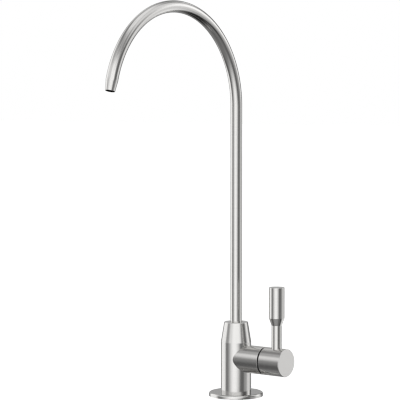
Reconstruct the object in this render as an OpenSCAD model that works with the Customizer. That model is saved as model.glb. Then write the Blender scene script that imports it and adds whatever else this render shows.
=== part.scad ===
// Drinking water filter tap: a gooseneck spout that swivels on a turned column, and a side lever
// that turns a quarter-turn ceramic valve in the column's arm.
// Origin: centre of the base flange's underside, on the deck. +Z is up, the valve arm points
// along +X and the spout reaches along -Y. All sizes are in millimetres.

/* [Spout] */
// Outside diameter of the spout tube
tube_d = 10; // [9:0.1:10.4]
// Wall of the spout tube
tube_wall = 1; // [0.6:0.1:1.4]
// Centre-line radius of the gooseneck bend
bend_r = 81.4; // [40:0.1:120]
// Height above the deck at which the bend starts
bend_z = 248.6; // [150:0.1:350]
// Angle that the bend turns through
bend_angle = 165; // [120:1:175]
// Length of the drawn-in outlet end
outlet_len = 9; // [5:0.5:20]
// Outside diameter at the outlet's mouth
outlet_d = 8; // [7.6:0.1:9]
// Bore at the outlet's mouth
outlet_bore = 7.3; // [5:0.1:7.4]

/* [Spout swivel] */
// Radial thickness of the sleeve brazed to the tube's foot
sleeve_wall = 2.25; // [2:0.05:2.5]
// Height of the sleeve
sleeve_h = 8.5; // [7.5:0.1:9.5]
// Height of the ledge in the sleeve that the tube stands on
sleeve_ledge_h = 1.2; // [0.8:0.1:2]
// Section diameter of the sleeve's seal rings
sleeve_ring_d = 1.5; // [1.2:0.1:1.6]
// Thickness of the glide washers above and below the sleeve
glide_t = 0.8; // [0.5:0.1:1]

/* [Collar] */
// Height of the conical collar
collar_h = 17.2; // [15:0.1:20]
// Diameter of the collar's top, before its edge is rounded
collar_top_d = 20.4; // [18.5:0.1:24]
// Rounding of the collar's top edge
collar_edge_r = 0.8; // [0.3:0.1:1.4]
// Thickness of the lip over the guide bush
collar_lip_t = 1.6; // [1:0.1:2.5]
// Radial thickness of the guide bush
bush_wall = 1.4; // [0.8:0.1:1.8]
// Wall of the body's neck, which the collar screws on
neck_wall = 2.1; // [1.6:0.1:2.3]

/* [Body] */
// Diameter of the column
body_d = 26; // [24.5:0.1:32]
// Height of the column's shoulder above the deck
shoulder_z = 46.6; // [45.5:0.1:60]
// Depth of the spout socket below the shoulder
socket_drop = 0.5; // [0:0.1:1]
// Diameter of the valve arm and of the handle
arm_d = 23.6; // [22:0.1:26]
// Height of the arm's axis above the deck
arm_z = 32.7; // [30:0.1:34]
// Distance from the column's axis to the arm's end
arm_len = 30.7; // [30.4:0.1:34]
// Rounding of the arm's end and of the handle's back edge
mouth_edge_r = 0.2; // [0.1:0.05:0.4]

/* [Base] */
// Diameter of the base flange
flange_d = 46.5; // [42:0.1:60]
// Thickness of the base flange
flange_t = 3.3; // [2.8:0.1:4]
// Rounding of the flange's top edge
flange_edge_r = 1.5; // [0.3:0.1:2.4]
// Diameter of the gasket under the flange
gasket_d = 38; // [30:0.5:39]
// Thickness of the gasket
gasket_t = 1.2; // [0.6:0.1:1.5]

/* [Shank] */
// Outside diameter of the shank's thread
shank_d = 12; // [10:0.1:13]
// Length of the shank's main thread below the deck
shank_len = 45; // [36:0.5:90]
// Water bore of the shank
shank_bore = 5.5; // [4:0.1:6]
// Length of thread screwed into the body
shank_grip = 9.7; // [7:0.1:10.5]
// Outside diameter of the supply tail's thread
tail_d = 11.1; // [9.5:0.1:11.8]
// Length of the supply tail
tail_len = 15; // [10:0.5:30]
// Bore for the supply tube
supply_d = 6.5; // [6.2:0.05:7.5]
// Depth of the bore for the supply tube
supply_depth = 16; // [8:0.5:30]
// Thickness of the seal above the shank
shank_seal_t = 1.4; // [0.8:0.1:2]

/* [Deck nut] */
// Thickness of the deck that the nut clamps
deck_t = 20; // [2:0.5:32]
// Diameter of the spacer washer
spacer_d = 30; // [24:0.5:40]
// Thickness of the spacer washer
spacer_t = 4; // [2:0.1:8]
// Width of the spacer washer's raised rim
spacer_rim = 4; // [2:0.1:5]
// Height of that rim
spacer_relief = 0.8; // [0.4:0.1:1.5]
// Outside diameter of the toothed washer
lock_washer_d = 21; // [18:0.5:26]
// Thickness of the toothed washer
lock_washer_t = 1.2; // [0.6:0.1:2]
// Width of a tooth on the toothed washer
lock_tooth_w = 2.4; // [1.5:0.1:3]
// Height of a tooth
lock_tooth_h = 1.6; // [1:0.1:2.5]
// Teeth on the toothed washer
lock_washer_teeth = 12; // [6:1:16]
// Size across the nut's flats
nut_flats = 17; // [16:0.5:24]
// Height of the nut
nut_h = 7; // [5:0.5:10]

/* [Cartridge] */
// Bore in the arm that takes the cartridge
cavity_d = 16.4; // [15.8:0.1:16.8]
// Depth of the cartridge nut's face below the arm's end
nut_sink = 3.25; // [2.9:0.05:3.6]
// Diameter of the ceramic discs
disc_d = 12.7; // [12:0.1:13]
// Thickness of each ceramic disc
disc_t = 2.8; // [2.2:0.1:3]
// Inner diameter of the ports in the discs
port_in_d = 4.4; // [3.6:0.1:5]
// Rim of a disc outside its ports
port_rim = 1.1; // [0.8:0.1:1.6]
// Angle that each port in a disc spans
port_angle = 70; // [40:1:80]
// Width of the spindle's driver
driver_w = 3; // [2:0.1:3.4]
// Depth of the driver's slot in the moving disc
driver_depth = 1; // [0.6:0.1:1.4]
// Thickness of the seat seal
seat_seal_t = 1.4; // [1:0.1:1.8]
// Length of the housing's side windows
window_len = 2.6; // [1.5:0.1:3]
// Width of the housing's side windows
window_w = 6; // [3:0.1:8]
// Diameter of the spindle
spindle_d = 7.2; // [6.4:0.1:7.4]
// Diameter of the collar that keeps the spindle in the housing
spindle_collar_d = 10; // [9:0.1:11]
// Thickness of that collar
spindle_collar_t = 1.5; // [1:0.1:2]
// Length of the housing from the spindle collar's seat to its flange
housing_barrel_len = 7.6; // [7.4:0.1:8.2]
// Thickness of the housing's flange
housing_flange_t = 2.5; // [1.5:0.1:2.6]
// Length of the housing's neck
housing_neck_len = 8.2; // [7:0.1:8.3]
// Outside diameter of the housing's neck
housing_neck_d = 11.2; // [10.4:0.1:12]
// Diameter of the cartridge nut's thread
cartridge_nut_d = 18; // [17.6:0.1:18.4]
// Width of the spanner slots in the cartridge nut
nut_slot_w = 2.5; // [1.5:0.1:3]
// Depth of the spanner slots
nut_slot_depth = 2; // [1:0.1:2.5]
// Length of the cartridge nut
cartridge_nut_len = 5.5; // [3:0.1:5.6]
// Thickness of the spindle's clip
clip_t = 0.8; // [0.5:0.1:1]
// Depth of the clip's groove
clip_groove = 0.6; // [0.4:0.1:1]
// Height of the clip above the spindle
clip_rise = 1.6; // [1:0.1:1.8]
// Width of the clip's opening
clip_opening = 3.8; // [3:0.1:5]
// Section diameter of the cartridge's and spindle's seal rings
cartridge_ring_d = 1.5; // [1.2:0.1:1.6]

/* [Water ways] */
// Diameter of the chamber behind the valve seat
chamber_d = 8; // [7:0.1:9]
// Distance from the column's axis to the chamber's far end
chamber_reach = 7; // [6.5:0.1:8]
// Distance from the column's axis to the inlet's end in the chamber
inlet_lean = 5.4; // [5:0.1:5.8]
// Diameter of the slanting inlet
inlet_d = 4.8; // [4:0.1:5]
// Distance from the cavity's floor to the gallery round the cartridge
gallery_start = 2.2; // [2:0.1:2.6]
// Depth of the gallery
gallery_depth = 1; // [0.6:0.1:1.4]
// Diameter of the rising outlet
rise_d = 4; // [3:0.1:4.6]

/* [Handle] */
// Thickness of the dark ring between the arm and the handle
gap_ring_t = 1.3; // [0.6:0.1:1.6]
// Wall of the plug that holds the dark ring in the arm
gap_ring_plug_wall = 1; // [0.6:0.1:1.5]
// Outside diameter of the dark ring
gap_ring_d = 22; // [19.5:0.1:23.2]
// Length of the handle's hub
hub_len = 20.9; // [19:0.1:26]
// Rounding of the hub's end edge
hub_edge_r = 0.4; // [0.1:0.05:1]
// Depth of the recess in the hub's back
hub_recess_len = 3.7; // [3:0.1:5]
// Diameter of the recess in the hub's back
hub_recess_d = 19; // [16:0.5:19.5]
// Distance from the hub's back to the lever's axis
lever_from_back = 10.8; // [9.5:0.1:12]
// Diameter of the lever's stem
stem_d = 8.6; // [7:0.1:10]
// Height of the stem's top above the arm's axis
stem_top = 31.2; // [20:0.1:50]
// Height of the flare between the stem and the grip
flare_h = 6.2; // [2:0.1:12]
// Diameter of the lever's grip
grip_d = 13.1; // [11:0.1:18]
// Length of the grip
grip_len = 26.1; // [15:0.1:60]
// Rounding of the grip's top edge
grip_edge_r = 0.4; // [0.2:0.1:2]
// Diameter of the thread on the lever's foot
lever_thread_d = 6; // [5:0.1:6.4]
// Outside diameter of the spindle's splines
spline_d = 7.9; // [7.6:0.1:8.4]
// Depth of the stem's seat below the hub's round side
stem_sink = 0.4; // [0.2:0.1:1]
// Wall left between the lever's tapped hole and the splines
lever_hole_wall = 1; // [0.6:0.1:1.5]
// Room left under the lever's foot
lever_foot_gap = 0.4; // [0.2:0.1:1]
// Depth of the splines
spline_depth = 0.5; // [0.3:0.05:0.6]
// Number of splines
spline_count = 20; // [12:1:24]
// Length of the splines
spline_len = 9.5; // [7:0.1:10]
// Diameter of the grub screw
grub_d = 4; // [3:0.1:4.6]
// Depth of the grub screw's end below the hub's round side
grub_sink = 0.8; // [0.4:0.1:1.5]
// Size across the flats of the grub screw's socket
grub_socket = 2; // [1.5:0.1:2.2]
// Depth of the grub screw's socket
grub_socket_len = 2.2; // [1:0.1:2.5]

/* [Fits] */
// Radial clearance of a part that turns or slides in a bore
run_gap = 0.05; // [0.02:0.01:0.09]
// Radial clearance between a thread and its mate
thread_gap = 0.1; // [0.05:0.01:0.2]
// Clearance between flat faces that turn on each other
face_gap = 0.1; // [0.05:0.01:0.2]
// Clearance round a part that must not touch
free_gap = 0.3; // [0.2:0.05:0.5]

/* [Hidden] */
$fn = 96;

// How far a cutting solid runs past the face that it opens
past = 1;
// Lap of two solids that are joined end to end
lap = 0.05;
// Fine step in radius where one length of the spout laps into the next
lap_step = 0.02;

// Column and shank heights
shank_hole_d = shank_d + 2 * free_gap;
shank_top_z = flange_t + shank_grip;
seal_top_z = shank_top_z + shank_seal_t;
tail_end_z = -shank_len - tail_len;
spacer_z = -deck_t - spacer_t;
lock_washer_z = spacer_z - lock_washer_t;

// Spout swivel, from the socket's floor up to the collar's lip
socket_floor_z = shoulder_z - socket_drop;
sleeve_z = socket_floor_z + glide_t + face_gap;
sleeve_top_z = sleeve_z + sleeve_h;
tube_foot_z = sleeve_z + sleeve_ledge_h;
upper_glide_z = sleeve_top_z + face_gap;
neck_top_z = upper_glide_z + glide_t;
collar_top_z = shoulder_z + collar_h;
bush_z = neck_top_z + face_gap;
bush_top_z = collar_top_z - collar_lip_t;
tube_r = tube_d / 2;
tube_bore_r = tube_r - tube_wall;
sleeve_r = tube_r + sleeve_wall;
socket_r = sleeve_r + run_gap;
neck_r = socket_r + neck_wall;
bush_bore_r = tube_r + run_gap;
bush_r = bush_bore_r + bush_wall;
sleeve_groove_r = sleeve_r - sleeve_ring_d - run_gap;
sleeve_groove_h = sleeve_ring_d + 2 * run_gap;
sleeve_groove_z = [for (i = [1, 2]) sleeve_z + sleeve_h * i / 3];

// Cartridge stations along the arm, from its end in to the cavity's floor
cartridge_nut_end_x = arm_len - nut_sink;
housing_flange_end_x = cartridge_nut_end_x - cartridge_nut_len;
housing_end_x = housing_flange_end_x + housing_neck_len;
housing_flange_x = housing_flange_end_x - housing_flange_t;
housing_seat_x = housing_flange_x - housing_barrel_len;
spindle_collar_x = housing_seat_x - face_gap - spindle_collar_t;
window_x = spindle_collar_x - free_gap - window_len;
moving_disc_back_x = window_x - free_gap;
moving_disc_x = moving_disc_back_x - disc_t;
fixed_disc_x = moving_disc_x - run_gap - disc_t;
cavity_floor_x = fixed_disc_x - seat_seal_t;
cavity_r = cavity_d / 2;
housing_r = cavity_r - 2 * thread_gap;
disc_r = disc_d / 2;
housing_bore_r = disc_r + run_gap;
spindle_r = spindle_d / 2;
spindle_bore_r = spindle_r + run_gap;
port_out_r = disc_r - port_rim;
driver_len = 2 * port_out_r;
ring_groove_len = cartridge_ring_d + 2 * run_gap;
housing_ring_x = housing_seat_x + housing_barrel_len / 4;
spindle_ring_x = [for (i = [1, 2]) housing_seat_x + housing_barrel_len * i / 3];

// Water ways in the body
gallery_r = cavity_r + gallery_depth;
gallery_x = cavity_floor_x + gallery_start;
gallery_end_x = window_x + window_len + free_gap;
rise_x = socket_r - rise_d / 2 - free_gap;

// Handle stations along the arm
arm_r = arm_d / 2;
gap_ring_end_x = arm_len + gap_ring_t;
hub_x = gap_ring_end_x + free_gap;
spline_x = hub_x + hub_recess_len;
spline_r = spline_d / 2;
lever_x = hub_x + lever_from_back;
lever_seat = sqrt(arm_r * arm_r - stem_d * stem_d / 4) - stem_sink;
lever_foot = spline_r + lever_hole_wall;
grub_x = spline_x + spline_len / 2;
clip_x = housing_end_x + face_gap;
clip_groove_r = spindle_r - clip_groove;
clip_r = spindle_r + clip_rise;

// Lays a shape that is drawn along Z on the arm's axis, starting at x
module on_arm(x) {
    translate([x, 0, arm_z]) rotate([0, 90, 0]) children();
}

// Flat ring
module ring(outer_r, inner_r, h) {
    linear_extrude(h) difference() {
        circle(outer_r);
        circle(inner_r);
    }
}

// Round-section ring about the Z axis
module seal_ring(outer_r, section_d) {
    rotate_extrude() translate([outer_r - section_d / 2, 0]) circle(d = section_d);
}

// Half profile of a round bar from z0 to z1 with its top edge rounded
module rounded_bar_profile(r, z0, z1, edge_r) {
    translate([0, z0]) square([r, z1 - z0 - edge_r]);
    translate([0, z0]) square([r - edge_r, z1 - z0]);
    translate([r - edge_r, z1 - edge_r]) circle(edge_r);
}

// Splined outline: the tips and roots of n straight-sided teeth
function spline_outline(tip_r, root_r, n) = [
    for (i = [0 : n - 1], q = [0 : 3])
        let (turn = (i + q / 4) * 360 / n, r = q < 2 ? tip_r : root_r)
        [r * cos(turn), r * sin(turn)]
];

// Two opposite sector-shaped ports
module ports(turn) {
    reach = 2 * disc_r;
    half = port_angle / 2;
    for (side = [0, 180]) rotate(turn + side) intersection() {
        difference() {
            circle(port_out_r);
            circle(d = port_in_d);
        }
        polygon([[0, 0], [reach * cos(half), -reach * sin(half)], [reach * cos(half), reach * sin(half)]]);
    }
}

// Round cover plate on the deck, recessed below for its gasket
module base_flange() color("silver") rotate_extrude() difference() {
    rounded_bar_profile(flange_d / 2, 0, flange_t, flange_edge_r);
    translate([0, -past]) square([shank_hole_d / 2, flange_t + 2 * past]);
    translate([0, -past]) square([gasket_d / 2 + thread_gap, gasket_t + past]);
}

// Rubber ring in the flange's recess, flush with the deck
module base_gasket() color("dimgray") ring(gasket_d / 2, shank_hole_d / 2, gasket_t);

// Hollow threaded stud, stepped down to the tail that the supply connector screws on
module threaded_shank() color("gainsboro") difference() {
    union() {
        translate([0, 0, -shank_len]) cylinder(d = shank_d, h = shank_len + shank_top_z);
        translate([0, 0, tail_end_z]) cylinder(d = tail_d, h = tail_len);
    }
    translate([0, 0, tail_end_z - past]) cylinder(d = shank_bore, h = shank_top_z - tail_end_z + 2 * past);
    translate([0, 0, tail_end_z - past]) cylinder(d = supply_d, h = supply_depth + past);
}

// Sealing ring between the shank's end and the body
module shank_seal() color("dimgray") translate([0, 0, shank_top_z])
    ring(shank_d / 2, shank_bore / 2 + thread_gap, shank_seal_t);

// Turned column with its side arm, bored for the shank, the spout and the cartridge
module valve_body() color("silver") difference() {
    union() {
        translate([0, 0, flange_t]) cylinder(d = body_d, h = shoulder_z - flange_t);
        translate([0, 0, flange_t]) cylinder(r = neck_r, h = neck_top_z - flange_t);
        on_arm(0) rotate_extrude() rounded_bar_profile(arm_r, 0, arm_len, mouth_edge_r);
    }
    translate([0, 0, flange_t - past])
        cylinder(r = shank_d / 2 + thread_gap, h = seal_top_z - flange_t + past);
    translate([0, 0, socket_floor_z]) cylinder(r = socket_r, h = neck_top_z - socket_floor_z + past);
    on_arm(cavity_floor_x) cylinder(r = cavity_r, h = arm_len - cavity_floor_x + past);
    on_arm(gallery_x) cylinder(r = gallery_r, h = gallery_end_x - gallery_x);
    on_arm(housing_flange_x) cylinder(r = cartridge_nut_d / 2 + thread_gap, h = arm_len);
    on_arm(-chamber_reach) cylinder(d = chamber_d, h = chamber_reach + cavity_floor_x + past);
    inlet_way();
    rising_outlet();
}

// Slanting hole from above the shank to the chamber behind the valve seat
module inlet_way() {
    start_z = seal_top_z - past;
    climb = arm_z - start_z;
    translate([0, 0, start_z]) rotate([0, -atan2(inlet_lean, climb), 0])
        cylinder(d = inlet_d, h = norm([inlet_lean, climb]));
}

// Upright hole from the gallery round the cartridge to the spout socket
module rising_outlet() {
    start_z = arm_z + cavity_r - past;
    translate([rise_x, 0, start_z]) cylinder(d = rise_d, h = socket_floor_z - start_z + past);
}

// Conical union nut that screws on the body's neck and holds the spout down
module spout_collar() color("silver") rotate_extrude() difference() {
    collar_outline();
    translate([0, shoulder_z - past]) square([neck_r + thread_gap, bush_z - shoulder_z + past]);
    translate([0, shoulder_z]) square([bush_r + thread_gap, bush_top_z - shoulder_z]);
    translate([0, shoulder_z]) square([tube_r + free_gap, collar_h + past]);
}

// Half profile of the cone with its top edge rounded
module collar_outline() {
    slope = atan2((body_d - collar_top_d) / 2, collar_h);
    round_z = collar_top_z - collar_edge_r;
    round_r = collar_top_d / 2 + collar_edge_r * tan(slope) - collar_edge_r / cos(slope);
    polygon([
        [0, shoulder_z],
        [body_d / 2, shoulder_z],
        [round_r + collar_edge_r * cos(slope), round_z + collar_edge_r * sin(slope)],
        [round_r, collar_top_z],
        [0, collar_top_z]
    ]);
    translate([round_r, round_z]) circle(collar_edge_r);
}

// Plastic bush that guides the tube in the collar
module spout_bush() color("white") translate([0, 0, bush_z]) ring(bush_r, bush_bore_r, bush_top_z - bush_z);

// Plastic washers that the sleeve turns between
module lower_glide_washer() color("white") translate([0, 0, socket_floor_z]) glide_washer();
module upper_glide_washer() color("white") translate([0, 0, upper_glide_z]) glide_washer();
module glide_washer() ring(sleeve_r, tube_r + free_gap, glide_t);

// Brass cup of the quarter-turn valve: discs and windows in the cup, seal groove, flange and neck
module cartridge_housing() color("goldenrod") difference() {
    on_arm(0) rotate_extrude() difference() {
        union() {
            translate([0, cavity_floor_x + free_gap])
                square([housing_r, housing_flange_x - cavity_floor_x]);
            translate([0, housing_flange_x]) square([cartridge_nut_d / 2, housing_flange_t]);
            translate([0, housing_flange_x]) square([housing_neck_d / 2, housing_end_x - housing_flange_x]);
        }
        translate([0, cavity_floor_x - past])
            square([housing_bore_r, housing_seat_x - cavity_floor_x + past]);
        translate([0, housing_seat_x - past])
            square([spindle_bore_r, housing_end_x - housing_seat_x + 2 * past]);
        translate([cavity_r - cartridge_ring_d - 2 * run_gap, housing_ring_x - ring_groove_len / 2])
            square([cartridge_ring_d + past, ring_groove_len]);
    }
    on_arm(window_x) translate([-cavity_d, -window_w / 2, 0]) cube([2 * cavity_d, window_w, window_len]);
}

// Rubber ring that presses the fixed disc against the moving one
module cartridge_seat_seal() color("dimgray") on_arm(cavity_floor_x)
    ring(disc_r - thread_gap, chamber_d / 2 + thread_gap, seat_seal_t);

// Ported disc that stays still
module fixed_ceramic_disc() color("white") on_arm(fixed_disc_x) linear_extrude(disc_t) difference() {
    circle(disc_r);
    ports(0);
}

// Ported disc that turns with the spindle, slotted at the back for its driver
module moving_ceramic_disc() color("ivory") on_arm(moving_disc_x) difference() {
    linear_extrude(disc_t) difference() {
        circle(disc_r);
        ports(90);
    }
    translate([-driver_len / 2 - run_gap, -driver_w / 2 - run_gap, disc_t - driver_depth])
        cube([driver_len + 2 * run_gap, driver_w + 2 * run_gap, driver_depth + past]);
}

// Seal round the housing
module cartridge_o_ring() color("dimgray") on_arm(housing_ring_x)
    seal_ring(cavity_r - run_gap, cartridge_ring_d);

// Ring nut in the arm's mouth, with two slots for a face spanner
module cartridge_nut() color("goldenrod") on_arm(housing_flange_end_x) difference() {
    ring(cartridge_nut_d / 2, housing_neck_d / 2 + thread_gap, cartridge_nut_len);
    translate([-cartridge_nut_d, -nut_slot_w / 2, cartridge_nut_len - nut_slot_depth])
        cube([2 * cartridge_nut_d, nut_slot_w, nut_slot_depth + past]);
}

// Dark ring that shows between the arm and the handle, plugged into the arm's mouth
module handle_gap_ring() color("black") on_arm(arm_len) rotate_extrude() {
    plug_bore_r = cartridge_nut_d / 2 - gap_ring_plug_wall;
    plug_len = nut_sink - free_gap;
    translate([plug_bore_r, 0]) square([gap_ring_d / 2 - plug_bore_r, gap_ring_t]);
    translate([plug_bore_r, -plug_len]) square([gap_ring_plug_wall, plug_len]);
}

// Round handle body: recessed at the back, splined for the spindle, tapped for lever and grub screw
module handle_hub() color("silver") difference() {
    on_arm(hub_x) rotate_extrude() hub_outline();
    on_arm(hub_x - past) cylinder(d = hub_recess_d, h = hub_recess_len + past);
    on_arm(spline_x - past) linear_extrude(spline_len + past + free_gap)
        polygon(spline_outline(spline_r + run_gap, spline_r - spline_depth + run_gap, spline_count));
    translate([lever_x, 0, arm_z + lever_foot]) cylinder(r = lever_thread_d / 2 + thread_gap, h = arm_r);
    translate([lever_x, 0, arm_z + lever_seat]) cylinder(r = stem_d / 2 + run_gap, h = arm_r);
    translate([grub_x, arm_r + past, arm_z]) rotate([90, 0, 0])
        cylinder(r = grub_d / 2 + thread_gap, h = arm_r + past);
}

// Half profile of the hub, rounded at both edges
module hub_outline() {
    rounded_bar_profile(arm_r, mouth_edge_r, hub_len, hub_edge_r);
    square([arm_r - mouth_edge_r, hub_len / 2]);
    translate([arm_r - mouth_edge_r, mouth_edge_r]) circle(mouth_edge_r);
}

// Turned lever: threaded foot, stem, flare and grip with a rounded top edge
module handle_lever() color("silver") translate([lever_x, 0, arm_z]) rotate_extrude() {
    flare_top = stem_top + flare_h;
    grip_top = flare_top + grip_len;
    foot = lever_foot + lever_foot_gap;
    translate([0, foot]) square([lever_thread_d / 2, stem_top - foot]);
    translate([0, lever_seat]) square([stem_d / 2, stem_top - lever_seat]);
    polygon([[0, stem_top], [stem_d / 2, stem_top], [grip_d / 2, flare_top], [0, flare_top]]);
    rounded_bar_profile(grip_d / 2, flare_top, grip_top, grip_edge_r);
}

// Grub screw in the hub's far side, its point on the splines and a hexagon socket in its end
module hub_grub_screw() color("gray") translate([grub_x, arm_r, arm_z]) rotate([90, 0, 0]) difference() {
    translate([0, 0, grub_sink]) cylinder(d = grub_d, h = arm_r - grub_sink - spline_r - run_gap);
    translate([0, 0, grub_sink - past])
        cylinder(d = grub_socket / cos(30), h = grub_socket_len + past, $fn = 6);
}

// Brass spindle: disc driver, retaining collar, sealed shaft with a clip groove, and splines
module cartridge_spindle() color("goldenrod") {
    tongue_x = moving_disc_back_x - driver_depth + face_gap;
    on_arm(tongue_x) translate([-driver_len / 2, -driver_w / 2, 0])
        cube([driver_len, driver_w, spindle_collar_x - tongue_x + lap]);
    on_arm(0) rotate_extrude() difference() {
        union() {
            translate([0, spindle_collar_x]) square([spindle_collar_d / 2, spindle_collar_t]);
            translate([0, spindle_collar_x]) square([spindle_r, spline_x - spindle_collar_x]);
        }
        for (x = spindle_ring_x)
            translate([spindle_r - cartridge_ring_d - run_gap, x - ring_groove_len / 2])
                square([cartridge_ring_d + past, ring_groove_len]);
        translate([clip_groove_r, clip_x]) square([clip_r, clip_t + run_gap]);
    }
    on_arm(spline_x - lap) linear_extrude(spline_len + lap)
        polygon(spline_outline(spline_r, spline_r - spline_depth, spline_count));
}

// Two seals on the spindle
module spindle_o_rings() color("dimgray") for (x = spindle_ring_x) on_arm(x)
    seal_ring(spindle_r, cartridge_ring_d);

// Open spring ring that keeps the spindle from sliding into the housing
module spindle_clip() color("gray") on_arm(clip_x) linear_extrude(clip_t) difference() {
    circle(clip_r);
    circle(clip_groove_r + run_gap);
    translate([0, -clip_opening / 2]) square([clip_r + past, clip_opening]);
}

// Hollow gooseneck: straight riser, bend and drawn-in outlet
module spout_tube() color("silver") difference() {
    gooseneck(tube_r, outlet_d / 2, 0);
    gooseneck(tube_bore_r, outlet_bore / 2, past);
}

// Round bar of radius r along the spout, drawn in to mouth_r; both ends run on by extra
module gooseneck(r, mouth_r, extra) {
    lap_turn = lap / bend_r * 180 / PI;
    draw_len = outlet_len + lap;
    draw_r = r - 2 * lap_step;
    end_r = mouth_r - (draw_r - mouth_r) * extra / draw_len;
    translate([0, 0, tube_foot_z - extra]) cylinder(r = r, h = bend_z - tube_foot_z + extra);
    translate([0, -bend_r, bend_z]) rotate([90, 0, 90]) {
        rotate([0, 0, -lap_turn]) rotate_extrude(angle = bend_angle + lap_turn)
            translate([bend_r, 0]) circle(r - lap_step);
        rotate([0, 0, bend_angle]) translate([bend_r, -lap, 0]) rotate([-90, 0, 0])
            cylinder(r1 = draw_r, r2 = end_r, h = draw_len + extra);
    }
}

// Sleeve brazed to the tube's foot, with a ledge under the tube and two seal grooves
module spout_sleeve() color("goldenrod") rotate_extrude() difference() {
    translate([tube_bore_r, sleeve_z]) square([sleeve_r - tube_bore_r, sleeve_h]);
    translate([0, tube_foot_z]) square([tube_r + run_gap, sleeve_h]);
    for (z = sleeve_groove_z) translate([sleeve_groove_r, z - sleeve_groove_h / 2])
        square([sleeve_ring_d + past, sleeve_groove_h]);
}

// Two seals on the sleeve
module spout_o_rings() color("dimgray") for (z = sleeve_groove_z) translate([0, 0, z])
    seal_ring(sleeve_r, sleeve_ring_d);

// Plastic washer that bears on the underside of the deck, relieved in its upper face
module deck_spacer() color("white") translate([0, 0, spacer_z]) rotate_extrude() difference() {
    square([spacer_d / 2, spacer_t]);
    translate([0, -past]) square([shank_hole_d / 2, spacer_t + 2 * past]);
    translate([0, spacer_t - spacer_relief]) square([spacer_d / 2 - spacer_rim, spacer_relief + past]);
}

// Toothed steel washer between the spacer and the nut
module lock_washer() color("gainsboro") translate([0, 0, lock_washer_z])
    linear_extrude(lock_washer_t) difference() {
        union() {
            circle(lock_washer_d / 2 - lock_tooth_h);
            for (i = [0 : lock_washer_teeth - 1]) rotate(i * 360 / lock_washer_teeth)
                translate([0, -lock_tooth_w / 2]) square([lock_washer_d / 2, lock_tooth_w]);
        }
        circle(shank_d / 2 + free_gap);
    }

// Hexagon nut with its corners turned off at both faces
module mounting_nut() color("gainsboro") translate([0, 0, lock_washer_z - nut_h]) difference() {
    corner_r = nut_flats / 2 / cos(30);
    corner_drop = (corner_r - nut_flats / 2) * tan(30);
    intersection() {
        cylinder(r = corner_r, h = nut_h, $fn = 6);
        rotate_extrude() polygon([
            [0, 0],
            [nut_flats / 2, 0],
            [corner_r, corner_drop],
            [corner_r, nut_h - corner_drop],
            [nut_flats / 2, nut_h],
            [0, nut_h]
        ]);
    }
    translate([0, 0, -past]) cylinder(r = shank_d / 2 + run_gap, h = nut_h + 2 * past);
}

base_flange();
base_gasket();
threaded_shank();
shank_seal();
valve_body();
spout_collar();
spout_bush();
lower_glide_washer();
upper_glide_washer();
cartridge_housing();
cartridge_seat_seal();
fixed_ceramic_disc();
cartridge_o_ring();
cartridge_nut();
handle_gap_ring();
handle_hub();
handle_lever();
hub_grub_screw();
cartridge_spindle();
spindle_o_rings();
spindle_clip();
moving_ceramic_disc();
spout_tube();
spout_sleeve();
spout_o_rings();
deck_spacer();
lock_washer();
mounting_nut();
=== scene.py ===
import math

import bpy
from mathutils import Matrix, Vector


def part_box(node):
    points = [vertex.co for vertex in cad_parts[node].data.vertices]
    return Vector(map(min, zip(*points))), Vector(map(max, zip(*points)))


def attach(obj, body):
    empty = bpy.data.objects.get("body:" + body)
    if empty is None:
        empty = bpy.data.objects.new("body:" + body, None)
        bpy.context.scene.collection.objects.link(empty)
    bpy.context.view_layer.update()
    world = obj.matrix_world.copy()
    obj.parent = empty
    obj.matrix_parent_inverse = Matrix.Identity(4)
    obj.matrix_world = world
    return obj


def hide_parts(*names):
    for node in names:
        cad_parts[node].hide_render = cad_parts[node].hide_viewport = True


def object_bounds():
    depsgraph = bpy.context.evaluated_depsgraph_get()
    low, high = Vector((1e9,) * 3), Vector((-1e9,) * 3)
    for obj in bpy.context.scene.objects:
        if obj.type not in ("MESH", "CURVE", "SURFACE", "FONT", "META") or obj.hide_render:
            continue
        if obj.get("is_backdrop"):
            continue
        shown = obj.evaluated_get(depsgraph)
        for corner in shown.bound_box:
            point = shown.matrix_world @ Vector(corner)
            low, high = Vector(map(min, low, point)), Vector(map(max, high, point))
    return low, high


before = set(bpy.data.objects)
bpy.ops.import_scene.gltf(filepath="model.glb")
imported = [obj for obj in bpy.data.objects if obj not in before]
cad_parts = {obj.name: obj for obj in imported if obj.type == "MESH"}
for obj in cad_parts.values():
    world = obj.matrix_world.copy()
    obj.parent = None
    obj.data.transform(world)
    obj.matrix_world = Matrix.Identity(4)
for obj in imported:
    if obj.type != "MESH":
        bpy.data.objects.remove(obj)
cad_low, cad_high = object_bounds()

# Base flange: the round cover plate on the deck. It is turned from stainless steel bar, its top
# edge is rounded, and it is brushed while it turns, so the marks run in rings round its axis. Its
# flat top is coloured darker than the rim: partly a duller sanded finish, partly painted shade
# that darkens the body's foot where the foot mirrors the top.


def add_node(tree, kind, inputs=None, **options):
    """Adds a node, sets its options, and links or fills its inputs."""
    node = tree.nodes.new(kind)
    for option, value in options.items():
        setattr(node, option, value)
    for key, value in (inputs or {}).items():
        if isinstance(value, bpy.types.NodeSocket):
            tree.links.new(value, node.inputs[key])
        else:
            node.inputs[key].default_value = value
    return node


def add_math(tree, operation, *values):
    """Adds a Math node on these values and returns its result."""
    inputs = dict(enumerate(values))
    return add_node(tree, "ShaderNodeMath", inputs, operation=operation).outputs[0]


def add_vector_math(tree, operation, *values, output=0):
    """Adds a Vector Math node on these values and returns its result."""
    inputs = dict(enumerate(values))
    return add_node(tree, "ShaderNodeVectorMath", inputs, operation=operation).outputs[output]


def add_vector(tree, x=0, y=0, z=0):
    """Adds a Combine XYZ node and returns its vector."""
    return add_node(tree, "ShaderNodeCombineXYZ", {"X": x, "Y": y, "Z": z}).outputs[0]


def split_vector(tree, vector):
    """Adds a Separate XYZ node and returns its three results, by name."""
    return add_node(tree, "ShaderNodeSeparateXYZ", {0: vector}).outputs


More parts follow.
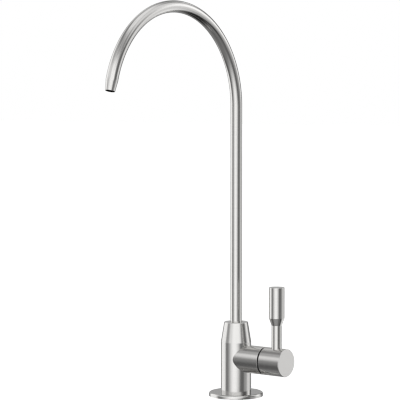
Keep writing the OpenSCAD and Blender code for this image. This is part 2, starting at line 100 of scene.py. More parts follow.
def place_on_piece(tree):
    """Adds the Object coordinates and returns them."""
    return add_node(tree, "ShaderNodeTexCoord").outputs["Object"]


def new_group(name, kind, inputs, outputs):
    """Makes a node group with named sockets, and returns it with its inputs and its end node."""
    tree = bpy.data.node_groups.new(name, kind)
    for in_out, sockets in (("INPUT", inputs), ("OUTPUT", outputs)):
        for socket, value_type in sockets.items():
            socket_type = "NodeSocket" + value_type
            tree.interface.new_socket(socket, in_out=in_out, socket_type=socket_type)
    return tree, tree.nodes.new("NodeGroupInput").outputs, tree.nodes.new("NodeGroupOutput")


def new_material(name):
    """Makes a material and returns it with its node tree and its shader."""
    material = bpy.data.materials.new(name)
    material.use_nodes = True
    return material, material.node_tree, material.node_tree.nodes["Principled BSDF"]


def add_ramp(tree, factor, stops):
    """Adds a ramp of (place, colour) stops and returns its colour."""
    node = add_node(tree, "ShaderNodeValToRGB", {"Fac": factor})
    elements = node.color_ramp.elements
    while len(elements) < len(stops):
        elements.new(1)
    for element, (place, colour) in zip(elements, stops):
        element.position = place
        element.color = (*colour, 1)
    return node.outputs["Color"]


def add_range(tree, value, from_range, to_range, interpolation="LINEAR"):
    """Adds a Map Range node and returns its result."""
    inputs = {"Value": value, "From Min": from_range[0], "From Max": from_range[1]}
    inputs |= {"To Min": to_range[0], "To Max": to_range[1]}
    options = {"interpolation_type": interpolation}
    return add_node(tree, "ShaderNodeMapRange", inputs, **options).outputs[0]


def set_surface(tree, shader, colour, roughness, height, strength, depth):
    """Links a colour, a roughness and a height, as a bump, to the shader."""
    inputs = {"Strength": strength, "Distance": depth, "Height": height}
    normal = add_node(tree, "ShaderNodeBump", inputs).outputs[0]
    for socket, value in (("Base Color", colour), ("Roughness", roughness), ("Normal", normal)):
        tree.links.new(value, shader.inputs[socket])


MARK_LENGTH = 0.02
MARK_WIDTH = 0.0003
MARK_DEPTH = 0.00003
MARK_RAGGEDNESS = 0.6
STREAK_WIDTH = 0.0027
turned_marks, given, result = new_group(
    "turned_marks",
    "ShaderNodeTree",
    {"Vector": "Vector", "Mark Length": "Float", "Mark Width": "Float", "Streak Width": "Float"},
    {"Marks": "Float", "Streaks": "Float"},
)
place = split_vector(turned_marks, given["Vector"])
around = add_vector(turned_marks, place["X"], place["Y"])
off_axis = add_vector_math(turned_marks, "LENGTH", around, output="Value")
along = add_math(turned_marks, "ADD", off_axis, place["Z"])
for output, width, detail in (("Marks", "Mark Width", 4), ("Streaks", "Streak Width", 2)):
    stretched = add_vector(
        turned_marks,
        add_math(turned_marks, "DIVIDE", place["X"], given["Mark Length"]),
        add_math(turned_marks, "DIVIDE", place["Y"], given["Mark Length"]),
        add_math(turned_marks, "DIVIDE", along, given[width]),
    )
    inputs = {"Vector": stretched, "Scale": 1, "Detail": detail, "Roughness": MARK_RAGGEDNESS}
    noise = add_node(turned_marks, "ShaderNodeTexNoise", inputs).outputs[0]
    turned_marks.links.new(noise, result.inputs[output])

# Values that a noise mostly keeps between, and the same for the sum of marks and streaks
NOISE_SPREAD = (0.3, 0.7)
MARKS_SPREAD = (0.6, 1.0)
DULL_STEEL = (0.647, 0.640, 0.628)
BRIGHT_STEEL = (0.673, 0.666, 0.654)
STEEL_ROUGHNESS = (0.155, 0.175)


def brushed_steel(name, axis_place, mark_strength=0.06):
    """Brushed stainless steel. axis_place(tree) gives places on the piece, its axis along Z."""
    material, tree, shader = new_material(name)
    inputs = {"Vector": axis_place(tree), "Mark Length": MARK_LENGTH}
    inputs |= {"Mark Width": MARK_WIDTH, "Streak Width": STREAK_WIDTH}
    marks = add_node(tree, "ShaderNodeGroup", inputs, node_tree=turned_marks).outputs
    tone = add_math(tree, "ADD", marks["Marks"], marks["Streaks"])
    colour = add_ramp(tree, tone, list(zip(MARKS_SPREAD, (DULL_STEEL, BRIGHT_STEEL))))
    roughness = add_range(tree, marks["Streaks"], NOISE_SPREAD, STEEL_ROUGHNESS)
    set_surface(tree, shader, colour, roughness, marks["Marks"], mark_strength, MARK_DEPTH)
    shader.inputs["Metallic"].default_value = 1
    return material


def upright_at(x):
    """Places on a piece whose axis stands upright through x."""

    def axis_place(tree):
        return add_vector_math(tree, "SUBTRACT", place_on_piece(tree), (x, 0, 0))

    return axis_place


def dress(material, *nodes):
    """Gives the CAD nodes their material."""
    for node in nodes:
        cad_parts[node].data.materials.clear()
        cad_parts[node].data.materials.append(material)


# The Mix node's two inputs and its output, by number, for each kind of value
MIX_SOCKETS = {"VECTOR": (4, 5, 1), "RGBA": (6, 7, 2)}


def add_mix(tree, kind, factor, first, second, blend="MIX"):
    """Adds a Mix node for vectors or colours and returns its result."""
    first_input, second_input, output = MIX_SOCKETS[kind]
    inputs = {0: factor, first_input: first, second_input: second}
    node = add_node(tree, "ShaderNodeMix", inputs, data_type=kind, blend_type=blend)
    return node.outputs[output]


# Painted shade: the flange's flat top is multiplied darker, partly a duller sanded finish and
# partly shade for the body's foot that mirrors it.
SANDED_AND_SHADED_TONE = (0.76, 0.76, 0.76, 1)
EDGE_BLEND = 0.0003
flange_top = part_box("base_flange")[1].z
flange_steel = brushed_steel("flange_steel", upright_at(0))
tree = flange_steel.node_tree
flange_colour = tree.nodes["Principled BSDF"].inputs["Base Color"]
height = split_vector(tree, place_on_piece(tree))["Z"]
on_top = add_range(tree, height, (flange_top - EDGE_BLEND, flange_top), (0, 1))
brushed = flange_colour.links[0].from_socket
sanded_and_shaded = add_mix(tree, "RGBA", on_top, brushed, SANDED_AND_SHADED_TONE, blend="MULTIPLY")
tree.links.new(sanded_and_shaded, flange_colour)
dress(flange_steel, "base_flange")

# Gasket and seals: moulded black rubber rings. The gasket lies in the flange's recess, the others
# are trapped between the brass and steel parts.
GRAIN_DETAIL = 3
GRAIN_STRENGTH = 0.4
GRAIN_ROUGHNESS = 0.06
PALE_GAIN = 1.15
PALE_LIFT = 0.004


def moulded(name, colour, roughness, grain, grain_depth):
    """A moulded material: a colour that varies a little, and a fine surface grain."""
    material, tree, shader = new_material(name)
    inputs = {"Vector": place_on_piece(tree), "Scale": 1 / grain, "Detail": GRAIN_DETAIL}
    grains = add_node(tree, "ShaderNodeTexNoise", inputs).outputs[0]
    pale = [min(1, part * PALE_GAIN + PALE_LIFT) for part in colour]
    tone = add_ramp(tree, grains, list(zip(NOISE_SPREAD, (colour, pale))))
    around_mean = (roughness - GRAIN_ROUGHNESS, roughness + GRAIN_ROUGHNESS)
    spread = add_range(tree, grains, NOISE_SPREAD, around_mean)
    set_surface(tree, shader, tone, spread, grains, GRAIN_STRENGTH, grain_depth)
    return material


black_rubber = moulded(
    "black_rubber", (0.018, 0.018, 0.019), roughness=0.7, grain=0.0006, grain_depth=0.00003
)
dress(black_rubber, "base_gasket", "shank_seal", "cartridge_seat_seal")
dress(black_rubber, "cartridge_o_ring", "spindle_o_rings", "spout_o_rings")

# Threaded shank: the hollow stud under the body, of plain steel, with a thread for the deck nut
# and, on its stepped tail, a finer one for the supply connector. The supply tube enters its lower
# bore.
MOTTLES_PER_METRE = 400
MOTTLE_DETAIL = 4
MOTTLE_SPREAD = (0.35, 0.65)
MOTTLE_STRENGTH = 0.2
MOTTLE_DEPTH = 0.00002
DULL_SHARE = 0.88
DULL_ROUGHER = 0.06
BRIGHT_SMOOTHER = 0.04


def plated(name, colour, roughness):
    """Plated metal with a faint mottle."""
    material, tree, shader = new_material(name)
    inputs = {"Vector": place_on_piece(tree), "Scale": MOTTLES_PER_METRE, "Detail": MOTTLE_DETAIL}
    mottle = add_node(tree, "ShaderNodeTexNoise", inputs).outputs[0]
    dull = [part * DULL_SHARE for part in colour]
    tone = add_ramp(tree, mottle, list(zip(MOTTLE_SPREAD, (dull, colour))))
    around_mean = (roughness + DULL_ROUGHER, roughness - BRIGHT_SMOOTHER)
    spread = add_range(tree, mottle, NOISE_SPREAD, around_mean)
    set_surface(tree, shader, tone, spread, mottle, MOTTLE_STRENGTH, MOTTLE_DEPTH)
    shader.inputs["Metallic"].default_value = 1
    return material


def add_wall(tree, low, length, radius_low, radius_high, sides, rows=1, inward=False):
    """Adds a round wall that stands on the height low. With no length it is a flat ring."""
    inputs = {"Vertices": sides, "Side Segments": rows, "Depth": length}
    inputs |= {"Radius Bottom": radius_low, "Radius Top": radius_high}
    wall = add_node(tree, "GeometryNodeMeshCone", inputs, fill_type="NONE").outputs["Mesh"]
    inputs = {"Geometry": wall, "Translation": add_vector(tree, z=low)}
    wall = add_node(tree, "GeometryNodeTransform", inputs).outputs[0]
    return add_node(tree, "GeometryNodeFlipFaces", {"Mesh": wall}).outputs[0] if inward else wall


WELD_DISTANCE = 1e-6


def add_join(tree, *walls):
    """Joins walls and welds the points where they meet."""
    node = tree.nodes.new("GeometryNodeJoinGeometry")
    for wall in walls:
        tree.links.new(wall, node.inputs[0])
    inputs = {"Geometry": node.outputs[0], "Distance": WELD_DISTANCE}
    return add_node(tree, "GeometryNodeMergeByDistance", inputs).outputs[0]


def add_move(tree, geometry, position):
    """Moves the points of a mesh to their new places."""
    inputs = {"Geometry": geometry, "Position": position}
    return add_node(tree, "GeometryNodeSetPosition", inputs).outputs[0]


def add_material(tree, geometry, material, selection=True):
    """Sets the material of a mesh, or of the selected faces."""
    inputs = {"Geometry": geometry, "Selection": selection, "Material": material}
    return add_node(tree, "GeometryNodeSetMaterial", inputs).outputs[0]


# Parts of a thread's pitch: the flat crest, the flat root, and half of it all
CREST_FLAT = 0.06
ROOT_FLAT = 0.1
HALF_PITCH = 0.5
thread_wall, given, result = new_group(
    "thread_wall",
    "GeometryNodeTree",
    {
        "Low": "Float",
        "Length": "Float",
        "Radius": "Float",
        "Pitch": "Float",
        "Depth": "Float",
        "Sides": "Int",
        "Rows per Turn": "Int",
    },
    {"Wall": "Geometry"},
)
turns = add_math(thread_wall, "DIVIDE", given["Length"], given["Pitch"])
rows = add_math(thread_wall, "MULTIPLY", turns, given["Rows per Turn"])
outside = (given["Low"], given["Length"], given["Radius"], given["Radius"])
wall = add_wall(thread_wall, *outside, given["Sides"], rows)
point = add_node(thread_wall, "GeometryNodeInputPosition").outputs[0]
axes = split_vector(thread_wall, point)
climb = add_math(thread_wall, "SUBTRACT", axes["Z"], given["Low"])
left_over = add_math(thread_wall, "SUBTRACT", given["Length"], climb)
bearing = add_math(thread_wall, "ARCTAN2", axes["Y"], axes["X"])
turned = add_math(thread_wall, "DIVIDE", bearing, 2 * math.pi)
phase = add_math(thread_wall, "DIVIDE", climb, given["Pitch"])
phase = add_math(thread_wall, "SUBTRACT", phase, turned)
flank = add_math(thread_wall, "PINGPONG", phase, HALF_PITCH)
cut = add_range(thread_wall, flank, (CREST_FLAT, HALF_PITCH - ROOT_FLAT), (0, 1))
from_end = add_math(thread_wall, "MINIMUM", climb, left_over)
from_end = add_math(thread_wall, "DIVIDE", from_end, given["Pitch"])
run_out = add_range(thread_wall, from_end, (0, 1), (1, 0))
cut = add_math(thread_wall, "MAXIMUM", cut, run_out)
cut = add_math(thread_wall, "MULTIPLY", cut, given["Depth"])
cut = add_math(thread_wall, "DIVIDE", cut, given["Radius"])
shrink = add_math(thread_wall, "SUBTRACT", 1, cut)
shrink = add_vector(thread_wall, shrink, shrink, 1)
cut_place = add_vector_math(thread_wall, "MULTIPLY", point, shrink)
wall = add_move(thread_wall, wall, cut_place)
thread_wall.links.new(wall, result.inputs["Wall"])

shank_tree, given, result = new_group(
    "hollow_stud",
    "GeometryNodeTree",
    {
        "Foot": "Float",
        "Tail Length": "Float",
        "Tail Radius": "Float",
        "Tail Pitch": "Float",
        "Tail Depth": "Float",
        "Stud Length": "Float",
        "Stud Radius": "Float",
        "Stud Pitch": "Float",
        "Stud Depth": "Float",
        "Supply Depth": "Float",
        "Supply Radius": "Float",
        "Bore Radius": "Float",
        "Sides": "Int",
        "Rows per Turn": "Int",
        "Steel": "Material",
    },
    {"Stud": "Geometry"},
)
foot = given["Foot"]
sides = given["Sides"]
supply_radius = given["Supply Radius"]
bore_radius = given["Bore Radius"]
step = add_math(shank_tree, "ADD", foot, given["Tail Length"])
top = add_math(shank_tree, "ADD", step, given["Stud Length"])
supply_end = add_math(shank_tree, "ADD", foot, given["Supply Depth"])
bore_length = add_math(shank_tree, "SUBTRACT", top, supply_end)
walls = []
roots = {}
for part, low in (("Tail", foot), ("Stud", step)):
    inputs = {key: given[part + " " + key] for key in ("Length", "Radius", "Pitch", "Depth")}
    inputs |= {"Low": low, "Sides": sides, "Rows per Turn": given["Rows per Turn"]}
    thread = add_node(shank_tree, "GeometryNodeGroup", inputs, node_tree=thread_wall)
    walls.append(thread.outputs[0])
    roots[part] = add_math(shank_tree, "SUBTRACT", given[part + " Radius"], given[part + " Depth"])
supply = (foot, given["Supply Depth"], supply_radius, supply_radius)
bore = (supply_end, bore_length, bore_radius, bore_radius)
walls += [
    add_wall(shank_tree, foot, 0, supply_radius, roots["Tail"], sides),
    add_wall(shank_tree, step, 0, roots["Tail"], roots["Stud"], sides),
    add_wall(shank_tree, top, 0, roots["Stud"], bore_radius, sides),
    add_wall(shank_tree, *supply, sides, inward=True),
    add_wall(shank_tree, supply_end, 0, bore_radius, supply_radius, sides),
    add_wall(shank_tree, *bore, sides, inward=True),
]
stud = add_join(shank_tree, *walls)
stud = add_node(shank_tree, "GeometryNodeRealizeInstances", {0: stud}).outputs[0]
stud = add_material(shank_tree, stud, given["Steel"])
shank_tree.links.new(stud, result.inputs["Stud"])

SHARP_ANGLE = math.radians(32)


def grow(name, tree, sizes):
    """Runs a Geometry Nodes tree and returns its result as an object with a plain mesh."""
    piece = bpy.data.objects.new(name, bpy.data.meshes.new(name))
    bpy.context.scene.collection.objects.link(piece)
    modifier = piece.modifiers.new(name, "NODES")
    modifier.node_group = tree
    for socket in tree.interface.items_tree:
        if socket.in_out == "INPUT":
            modifier[socket.identifier] = sizes[socket.name]
    evaluated = piece.evaluated_get(bpy.context.evaluated_depsgraph_get())
    piece.data = bpy.data.meshes.new_from_object(evaluated)
    piece.modifiers.remove(modifier)
    piece.data.shade_smooth()
    piece.data.set_sharp_from_angle(angle=SHARP_ANGLE)
    return piece


plain_steel = plated("plain_steel", (0.62, 0.62, 0.61), roughness=0.32)
shank_low, shank_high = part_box("threaded_shank")
TAIL_LENGTH = 0.015
shank = grow(
    "shank",
    shank_tree,
    {
        "Foot": shank_low.z,
        "Tail Length": TAIL_LENGTH,
        "Tail Radius": 0.00555,
        "Tail Pitch": 0.00106,
        "Tail Depth": 0.0006,
        "Stud Length": shank_high.z - shank_low.z - TAIL_LENGTH,
        "Stud Radius": shank_high.y,
        "Stud Pitch": 0.0015,
        "Stud Depth": 0.00085,
        "Supply Depth": 0.016,
        "Supply Radius": 0.00325,
        "Bore Radius": 0.00275,
        "Sides": 56,
        "Rows per Turn": 8,
        "Steel": plain_steel,
    },
)
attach(shank, "tap_body")
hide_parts("threaded_shank")

# Valve body: the turned column with the valve arm let into its side, machined from stainless steel
# and brushed round the column and round the arm.
SEAM = 0.00005
column_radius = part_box("valve_body")[1].y
hub_low, hub_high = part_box("handle_hub")
arm_height = (hub_low.z + hub_high.z) / 2


def round_arm(tree):
    """Places along the arm: its axis turned upright."""
    inputs = {"Vector": place_on_piece(tree), "Location": (arm_height, 0, 0)}
    inputs |= {"Rotation": (0, math.radians(-90), 0)}
    return add_node(tree, "ShaderNodeMapping", inputs).outputs[0]


def round_column_or_arm(tree):
    """Places round the column, or round the arm outside the column's surface."""
    object_place = place_on_piece(tree)
    flat = add_vector_math(tree, "MULTIPLY", object_place, (1, 1, 0))
    off_axis = add_vector_math(tree, "LENGTH", flat, output="Value")
    on_arm = add_math(tree, "GREATER_THAN", off_axis, column_radius + SEAM)
    return add_mix(tree, "VECTOR", on_arm, object_place, round_arm(tree))


dress(brushed_steel("body_steel", round_column_or_arm, mark_strength=0.09), "valve_body")

# Cartridge: a turned brass housing and spindle, kept together by a steel clip, with two white
# ceramic discs. A brass ring nut holds it in the arm. The spout's end sleeve is of the same brass.
brass = plated("brass", (0.72, 0.53, 0.27), roughness=0.3)
dress(brass, "cartridge_housing", "cartridge_nut", "cartridge_spindle", "spout_sleeve")
ceramic = moulded(
    "ceramic", (0.80, 0.79, 0.76), roughness=0.18, grain=0.0004, grain_depth=0.000005
)
dress(ceramic, "fixed_ceramic_disc", "moving_ceramic_disc")
dress(plain_steel, "spindle_clip")

# Gap ring: moulded black plastic. It plugs into the arm's mouth and shows as a dark line between
# the arm and the hub.
black_plastic = moulded(
    "black_plastic", (0.024, 0.024, 0.024), roughness=0.6, grain=0.0005, grain_depth=0.00002
)
dress(black_plastic, "handle_gap_ring")

# Handle: a turned hub on the spindle's splines, locked by a steel grub screw, and a turned lever
# screwed into its side. Hub and lever are stainless steel, brushed round their axes.
lever_low, lever_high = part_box("handle_lever")
lever_axis = (lever_low.x + lever_high.x) / 2
dress(brushed_steel("hub_steel", round_arm, mark_strength=0.09), "handle_hub")
dress(brushed_steel("lever_steel", upright_at(lever_axis)), "handle_lever")
dress(plain_steel, "hub_grub_screw")

# Spout seat: white plastic washers and a guide bush carry the swivelling spout inside the collar,
# a turned cone that screws on the body's neck.
white_plastic = moulded(
    "white_plastic", (0.74, 0.74, 0.72), roughness=0.4, grain=0.0006, grain_depth=0.00001
)
dress(white_plastic, "spout_bush", "lower_glide_washer", "upper_glide_washer")
dress(brushed_steel("collar_steel", upright_at(0)), "spout_collar")

# Spout: one stainless steel tube, bent to a gooseneck over a former and drawn in at its outlet,
# then brushed round the tube. Its bore is coloured near black, as painted shade inside the tube.
OUTLET_ROWS = 6
spout_tree, given, result = new_group(
    "gooseneck",
    "GeometryNodeTree",
    {
        "Foot": "Float",
        "Bend Start": "Float",
        "Bend Radius": "Float",
        "Bend Angle": "Float",
        "Outlet Length": "Float",
        "Tube Radius": "Float",
        "Bore Radius": "Float",
        "Mouth Radius": "Float",
        "Mouth Bore Radius": "Float",
        "Lip": "Float",
        "Sides": "Int",
        "Bend Rows": "Int",
        "Steel": "Material",
        "Bore Shade": "Material",
    },
    {"Spout": "Geometry"},
)


def keep_on_mesh(tree, geometry, name, value, **options):
    """Stores a value on the mesh as a named attribute."""
    inputs = {"Geometry": geometry, "Name": name, "Value": value}
    return add_node(tree, "GeometryNodeStoreNamedAttribute", inputs, **options).outputs[0]


foot = given["Foot"]
sides = given["Sides"]
bend_start = given["Bend Start"]
bend_radius = given["Bend Radius"]
bend_rows = given["Bend Rows"]
tube_radius = given["Tube Radius"]
bore_radius = given["Bore Radius"]
mouth_radius = given["Mouth Radius"]
mouth_bore_radius = given["Mouth Bore Radius"]
riser_length = add_math(spout_tree, "SUBTRACT", bend_start, foot)
bend_length = add_math(spout_tree, "MULTIPLY", bend_radius, given["Bend Angle"])
bend_end = add_math(spout_tree, "ADD", bend_start, bend_length)
draw_length = add_math(spout_tree, "SUBTRACT", given["Outlet Length"], given["Lip"])
lip_low = add_math(spout_tree, "ADD", bend_end, draw_length)
mouth_end = add_math(spout_tree, "ADD", bend_end, given["Outlet Length"])
lip_radius = add_math(spout_tree, "SUBTRACT", mouth_radius, given["Lip"])
riser = (foot, riser_length)
bend = (bend_start, bend_length)
outlet = (bend_end, given["Outlet Length"])
skin = [
    add_wall(spout_tree, foot, 0, bore_radius, tube_radius, sides),
    add_wall(spout_tree, *riser, tube_radius, tube_radius, sides),
    add_wall(spout_tree, *bend, tube_radius, tube_radius, sides, bend_rows),
    add_wall(spout_tree, bend_end, draw_length, tube_radius, mouth_radius, sides, OUTLET_ROWS),
    add_wall(spout_tree, lip_low, given["Lip"], mouth_radius, lip_radius, sides),
    add_wall(spout_tree, mouth_end, 0, lip_radius, mouth_bore_radius, sides),
]
bore = [
    add_wall(spout_tree, *riser, bore_radius, bore_radius, sides, inward=True),
    add_wall(spout_tree, *bend, bore_radius, bore_radius, sides, bend_rows, inward=True),
    add_wall(spout_tree, *outlet, bore_radius, mouth_bore_radius, sides, OUTLET_ROWS, inward=True),
]
bore = add_join(spout_tree, *bore)
bore = keep_on_mesh(spout_tree, bore, "in_bore", True, data_type="BOOLEAN", domain="FACE")
tube = add_join(spout_tree, *skin, bore)
straight = add_node(spout_tree, "GeometryNodeInputPosition").outputs[0]
tube = keep_on_mesh(spout_tree, tube, "straight_place", straight, data_type="FLOAT_VECTOR")
axes = split_vector(spout_tree, straight)
past_start = add_math(spout_tree, "SUBTRACT", axes["Z"], bend_start)
turned = add_math(spout_tree, "DIVIDE", past_start, bend_radius)
turned = add_math(spout_tree, "MAXIMUM", turned, 0)
turned = add_math(spout_tree, "MINIMUM", turned, given["Bend Angle"])
arc = add_math(spout_tree, "MULTIPLY", turned, bend_radius)
ahead = add_math(spout_tree, "SUBTRACT", past_start, arc)
reach = add_math(spout_tree, "ADD", bend_radius, axes["Y"])
sine = add_math(spout_tree, "SINE", turned)
cosine = add_math(spout_tree, "COSINE", turned)
bend_centre = add_math(spout_tree, "MULTIPLY", bend_radius, -1)
bent_y = add_math(spout_tree, "MULTIPLY_ADD", reach, cosine, bend_centre)
bent_y = add_math(spout_tree, "SUBTRACT", bent_y, add_math(spout_tree, "MULTIPLY", ahead, sine))
bent_z = add_math(spout_tree, "MULTIPLY_ADD", reach, sine, bend_start)
bent_z = add_math(spout_tree, "MULTIPLY_ADD", ahead, cosine, bent_z)
bent_place = add_vector(spout_tree, axes["X"], bent_y, bent_z)
tube = add_move(spout_tree, tube, bent_place)
tube = add_node(spout_tree, "GeometryNodeRealizeInstances", {0: tube}).outputs[0]
inputs = {"Name": "in_bore"}
in_bore = add_node(spout_tree, "GeometryNodeInputNamedAttribute", inputs, data_type="BOOLEAN")
tube = add_material(spout_tree, tube, given["Steel"])
tube = add_material(spout_tree, tube, given["Bore Shade"], in_bore.outputs[0])
spout_tree.links.new(tube, result.inputs["Spout"])


def along_tube(tree):
    """Places on the tube as it was before it was bent."""
    return add_node(tree, "ShaderNodeAttribute", attribute_name="straight_place").outputs["Vector"]


BEND_RADIUS = 0.0814
TUBE_WALL = 0.001
tube_low, tube_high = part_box("spout_tube")
spout = grow(
    "gooseneck_spout",
    spout_tree,
    {
        "Foot": tube_low.z,
        "Bend Start": tube_high.z - BEND_RADIUS - tube_high.y,
        "Bend Radius": BEND_RADIUS,
        "Bend Angle": math.radians(165),
        "Outlet Length": 0.009,
        "Tube Radius": tube_high.y,
        "Bore Radius": tube_high.y - TUBE_WALL,
        "Mouth Radius": 0.004,
        "Mouth Bore Radius": 0.00365,
        "Lip": 0.0002,
        "Sides": 72,
        "Bend Rows": 150,
        "Steel": brushed_steel("tube_steel", along_tube, mark_strength=0.04),
        # The bore's near-black colour is painted shade inside the tube.
        "Bore Shade": plated("bore_painted_shade", (0.03, 0.03, 0.03), roughness=0.5),
    },
)
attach(spout, "spout")
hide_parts("spout_tube")

# Deck fixings: a moulded white plastic spacer under the deck, a toothed steel washer and a hexagon
# nut that runs on the shank's thread.
dress(white_plastic, "deck_spacer")
dress(plain_steel, "lock_washer", "mounting_nut")

# Studio: a plain pale floor, and a light tent of grey walls with soft white panels and dark gaps.
# The camera sees the tent as white, and the steel mirrors its walls, panels and gaps.
CAMERA_AZIMUTH = math.radians(38.6)
CAMERA_PITCH = math.radians(3.316)
CAMERA_DISTANCE = 1.5271
CAMERA_HEIGHT = 0.25683
CAMERA_SIDE_STEP = -0.03099
FOCAL_PIXELS = 1788.3
PHOTO_PIXELS = 400
toward = Vector((math.sin(CAMERA_AZIMUTH), -math.cos(CAMERA_AZIMUTH), 0))
right = Vector((math.cos(CAMERA_AZIMUTH), math.sin(CAMERA_AZIMUTH), 0))
upward = Vector((0, 0, 1))
back = toward * math.cos(CAMERA_PITCH) + upward * math.sin(CAMERA_PITCH)
camera_data = bpy.data.cameras.new("photo_camera")
camera_data.lens = camera_data.sensor_width * FOCAL_PIXELS / PHOTO_PIXELS
camera = bpy.data.objects.new("photo_camera", camera_data)
bpy.context.scene.collection.objects.link(camera)
turn = Matrix((right, back.cross(right), back)).transposed().to_4x4()
stand = right * CAMERA_SIDE_STEP + toward * CAMERA_DISTANCE + upward * CAMERA_HEIGHT
camera.matrix_world = Matrix.Translation(stand) @ turn
bpy.context.scene.camera = camera


def seen_as_white(tree):
    """Adds a mask of the rays that see the studio as white."""
    rays = add_node(tree, "ShaderNodeLightPath").outputs
    return add_math(tree, "MAXIMUM", rays["Is Camera Ray"], rays["Is Transmission Ray"])


FLOOR_HALF = 15
FLOOR_GAP = 0.00005
FLOOR_TONE = (0.8, 0.8, 0.8, 1)
FLOOR_LIFT = 0.5
floor_mesh = bpy.data.meshes.new("floor")
corners = [(-1, -1), (1, -1), (1, 1), (-1, 1)]
corners = [(x * FLOOR_HALF, y * FLOOR_HALF, cad_low.z - FLOOR_GAP) for x, y in corners]
floor_mesh.from_pydata(corners, [], [range(4)])
floor = bpy.data.objects.new("floor", floor_mesh)
bpy.context.scene.collection.objects.link(floor)
floor_material, tree, shader = new_material("floor_white")
tree.nodes.remove(shader)
lift = add_math(tree, "MULTIPLY", seen_as_white(tree), FLOOR_LIFT)
glow = add_node(tree, "ShaderNodeEmission", {"Strength": lift})
pale = add_node(tree, "ShaderNodeBsdfDiffuse", {"Color": FLOOR_TONE})
both = add_node(tree, "ShaderNodeAddShader", {0: glow.outputs[0], 1: pale.outputs[0]})
tree.links.new(both.outputs[0], tree.nodes["Material Output"].inputs["Surface"])
floor_mesh.materials.append(floor_material)
floor.visible_glossy = False
floor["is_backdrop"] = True

PANEL_SIZES = ("Turn", "Half Width", "Side Edge", "Rise", "Half Height", "Top Edge")
inputs = {"Light": "Float", "Direction": "Vector", "Level": "Float"}
inputs |= dict.fromkeys(PANEL_SIZES, "Float")
soft_panel, given, result = new_group("soft_panel", "ShaderNodeTree", inputs, {"Light": "Float"})
way = split_vector(soft_panel, given["Direction"])
forward = add_math(soft_panel, "MULTIPLY", way["Y"], -1)
bearing = add_math(soft_panel, "ARCTAN2", way["X"], forward)
aside = add_math(soft_panel, "SUBTRACT", bearing, given["Turn"])
aside = add_math(soft_panel, "WRAP", aside, math.pi, -math.pi)
above = add_math(soft_panel, "SUBTRACT", add_math(soft_panel, "ARCSINE", way["Z"]), given["Rise"])
shares = []
for off, half, edge in ((aside, "Half Width", "Side Edge"), (above, "Half Height", "Top Edge")):
    inner = add_math(soft_panel, "SUBTRACT", given[half], given[edge])
    outer = add_math(soft_panel, "ADD", given[half], given[edge])
    off = add_math(soft_panel, "ABSOLUTE", off)
    shares.append(add_range(soft_panel, off, (inner, outer), (1, 0), "SMOOTHSTEP"))
cover = add_math(soft_panel, "MULTIPLY", *shares)
change = add_math(soft_panel, "SUBTRACT", given["Level"], given["Light"])
light = add_math(soft_panel, "MULTIPLY_ADD", change, cover, given["Light"])
soft_panel.links.new(light, result.inputs["Light"])

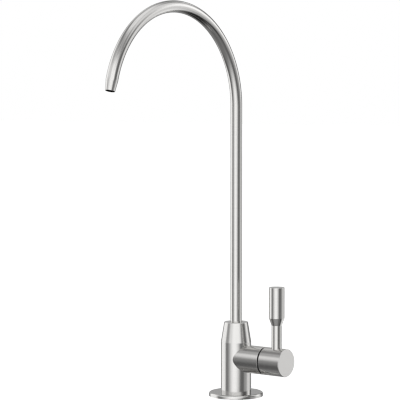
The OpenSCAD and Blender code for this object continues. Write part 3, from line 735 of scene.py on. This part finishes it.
# For each panel its sizes in degrees, turned from the camera's side, and its level
TENT_PANELS = {
    "back wall": (180, 40, 10, 32, 30, 12, 0.5),
    "back low wall": (180, 14, 6, 7, 7, 5, 0.48),
    "back upper wall": (180, 50, 12, 78, 10, 8, 1.05),
    "right back shade": (168, 8, 5, 36, 17, 7, 0.2),
    "left back glow": (-158, 12, 7, 36, 8, 6, 0.9),
    "right back glow": (151, 9, 6, 31, 5, 5, 1.0),
    "right back gap": (142, 14, 8, 11, 13, 8, 0.12),
    "front softbox": (-14, 31, 26, 12, 45, 24, 1.29),
    "front lean": (20, 19, 10, 18, 14, 10, 1.32),
    "front left lean": (-47, 9, 8, 12, 7, 5, 1.05),
    "front top gap": (8, 34, 14, 56, 11, 8, 0.42),
    "left softbox": (-114, 27, 7, 5, 37, 14, 1.22),
    "left upper wall": (-74, 26, 10, 32, 18, 14, 0.95),
    "left high shade": (-88, 24, 9, 44, 7, 6, 0.5),
    "left gap": (-82, 14, 9, -33, 19, 15, 0.12),
    "left low gap": (-105, 17, 8, -36, 9, 6, 0.16),
    "right gap": (46, 17, 10, -25, 28, 12, 0.17),
    "right upper gap": (69, 14, 8, 12, 13, 8, 0.15),
    "right mid wall": (78, 14, 8, -12, 10, 6, 0.44),
    "right low gap": (78, 16, 8, -40, 11, 6, 0.06),
    "right softbox": (110, 20, 9, 3, 40, 9, 0.89),
    "right softbox core": (112, 12, 8, 18, 14, 8, 1.5),
    "right rim gap": (128, 7, 5, 1, 4, 4, 0.35),
    "right low glow": (133, 20, 9, -25, 9, 7, 1.12),
    "right low shade": (94, 9, 7, -27, 9, 6, 0.5),
    "right upper wall": (90, 32, 12, 43, 15, 9, 0.92),
    "right table": (141, 54, 14, -57.5, 15, 8, 0.02),
    "overhead cloth": (100, 80, 30, 71, 13, 11, 1.05),
}
# Level of the tent's walls by angle above the horizon
WALL_LEVELS = {
    -90: 0.15,
    -60: 0.24,
    -40: 0.28,
    -10: 0.28,
    15: 0.3,
    45: 0.27,
    60: 0.24,
    70: 0.38,
    80: 1.05,
    84: 1.1,
    90: 0.5,
}
world = bpy.data.worlds.new("light_tent")
bpy.context.scene.world = world
world.use_nodes = True
tree = world.node_tree
direction = add_node(tree, "ShaderNodeTexCoord").outputs["Generated"]
rise = add_math(tree, "ARCSINE", split_vector(tree, direction)["Z"])
rise = add_range(tree, rise, (-math.pi / 2, math.pi / 2), (0, 1))
wall_stops = [((angle + 90) / 180, [level] * 3) for angle, level in WALL_LEVELS.items()]
light = add_ramp(tree, rise, wall_stops)
for *angles, level in TENT_PANELS.values():
    inputs = dict(zip(PANEL_SIZES, map(math.radians, angles)))
    inputs["Turn"] += CAMERA_AZIMUTH
    inputs |= {"Light": light, "Direction": direction, "Level": level}
    light = add_node(tree, "ShaderNodeGroup", inputs, node_tree=soft_panel).outputs["Light"]
tent = tree.nodes["Background"]
tree.links.new(light, tent.inputs["Color"])
white = add_node(tree, "ShaderNodeBackground", {"Color": (1, 1, 1, 1)})
inputs = {0: seen_as_white(tree), 1: tent.outputs[0], 2: white.outputs[0]}
mix = add_node(tree, "ShaderNodeMixShader", inputs)
tree.links.new(mix.outputs[0], tree.nodes["World Output"].inputs["Surface"])
bpy.context.scene.view_settings.view_transform = "Standard"
bpy.context.scene.cycles.filter_width = 1.2

low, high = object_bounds()
{"cad": [list(cad_low), list(cad_high)], "visual": [list(low), list(high)]}
